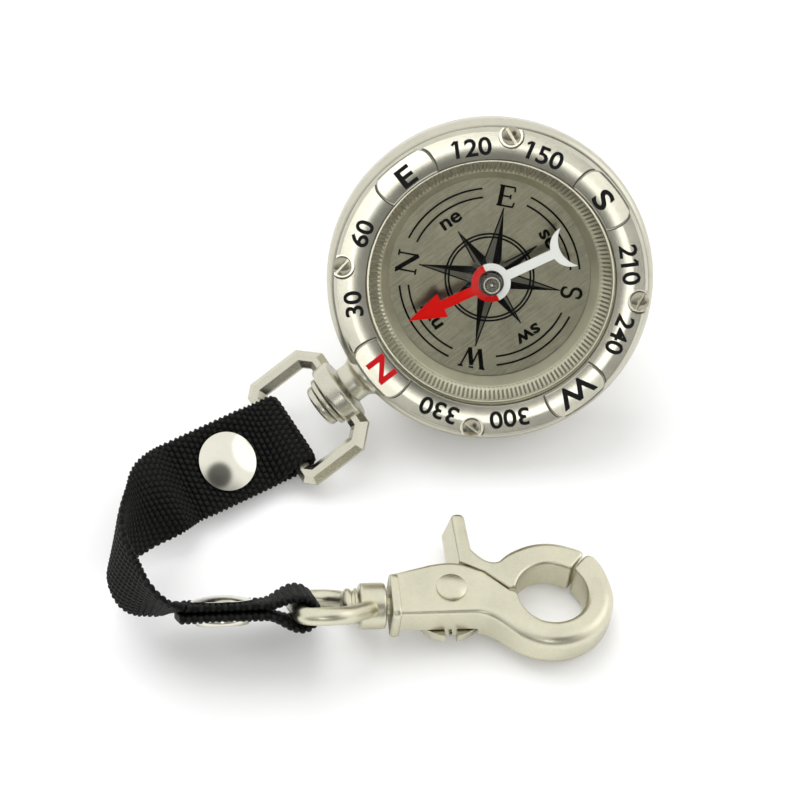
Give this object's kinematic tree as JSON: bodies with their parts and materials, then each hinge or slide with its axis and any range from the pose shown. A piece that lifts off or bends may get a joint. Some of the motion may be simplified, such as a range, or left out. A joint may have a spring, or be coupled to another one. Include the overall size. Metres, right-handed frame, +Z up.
{
  "type": "compass keychain",
  "caption": "Round pocket compass with lettered bezel and domed lens, on a swivel loop, a riveted black webbing strap and a swivelling trigger snap hook.",
  "frame": {"origin": "under the middle of the keychain, at table height, as it lies in the picture", "axes": "+Z up from the table; +Y away from the viewer; +X to the viewer's right, along the snap hook"},
  "size_m": [0.0912, 0.0854, 0.0498],
  "materials": {
    "case_metal": "satin nickel plating",
    "bezel_metal": "satin nickel plating",
    "screw_steel": "satin",
    "clear_lens": "clear polished",
    "seal_rubber": "matt",
    "dial_metal": "brushed, printed in black",
    "ring_metal": "satin",
    "pivot_steel": "ground",
    "needle_paint": "red and white enamel",
    "cap_metal": "nickel plated",
    "jewel": "polished",
    "plated_metal": "satin nickel plating",
    "rivet_metal": "bright nickel plating",
    "webbing": "basket weave, black",
    "spring_steel": "drawn wire"
  },
  "bodies": {
    "compass": {"case_body": "case_metal", "bezel": "bezel_metal", "bezel_screw_1": "screw_steel", "bezel_screw_2": "screw_steel", "bezel_screw_3": "screw_steel", "bezel_screw_4": "screw_steel", "capsule_lens": "clear_lens", "capsule_seal": "seal_rubber", "dial_ring": "ring_metal", "dial_plate": "dial_metal", "pivot_pin": "pivot_steel", "swivel_post": "plated_metal", "swivel_washer": "plated_metal"},
    "needle_set": {"needle": "needle_paint", "needle_cap": "cap_metal", "needle_jewel": "jewel"},
    "loop": {"strap_loop": "plated_metal"},
    "strap_upper": {"strap_compass_half": "webbing", "strap_bend": "webbing", "rivet_cap_1": "rivet_metal", "rivet_base_1": "rivet_metal"},
    "strap_lower": {"strap_hook_half": "webbing", "rivet_cap_2": "rivet_metal", "rivet_base_2": "rivet_metal"},
    "eye": {"eye_ring": "plated_metal"},
    "hook": {"hook_body": "plated_metal", "eye_rivet": "plated_metal", "trigger_pivot": "plated_metal", "trigger_spring": "spring_steel"},
    "trigger_arm": {"trigger": "plated_metal"}
  },
  "joints": [
    {"name": "needle_spin", "type": "hinge", "parent": "compass", "child": "needle_set", "pos_m": [0.01844, 0.0155, 0.02938], "axis": [0.0314, -0.7889, 0.6138], "continuous": true},
    {"name": "loop_swivel", "type": "hinge", "parent": "compass", "child": "loop", "pos_m": [-0.00581, 0.00791, 0.01158], "axis": [-0.7893, -0.3963, -0.469], "continuous": true},
    {"name": "strap_on_loop", "type": "hinge", "parent": "loop", "child": "strap_upper", "pos_m": [-0.01662, 0.00248, 0.00515], "axis": [-0.5265, 0.8298, 0.1848], "range_deg": [-12, 40]},
    {"name": "strap_flex", "type": "hinge", "parent": "strap_upper", "child": "strap_lower", "pos_m": [-0.04029, -0.02349, 0.00953], "axis": [0, 0, 1], "range_deg": [-40, 12], "deforming": ["strap_bend"]},
    {"name": "eye_on_strap", "type": "hinge", "parent": "strap_lower", "child": "eye", "pos_m": [-0.01305, -0.03497, 0.00898], "axis": [-0.1383, 0.6782, -0.7217], "range_deg": [-35, 35]},
    {"name": "hook_swivel", "type": "hinge", "parent": "eye", "child": "hook", "pos_m": [0.00121, -0.03359, 0.00753], "axis": [0.9904, 0.0954, -0.1002], "continuous": true},
    {"name": "trigger_pull", "type": "hinge", "parent": "hook", "child": "trigger_arm", "pos_m": [0.01124, -0.03182, 0.00651], "axis": [0.0997, 0.0096, 0.995], "range_deg": [0, 30], "stiffness_Nm_per_rad": 0.02, "springref_deg": -20.05, "deforming": ["trigger_spring"]}
  ]
}
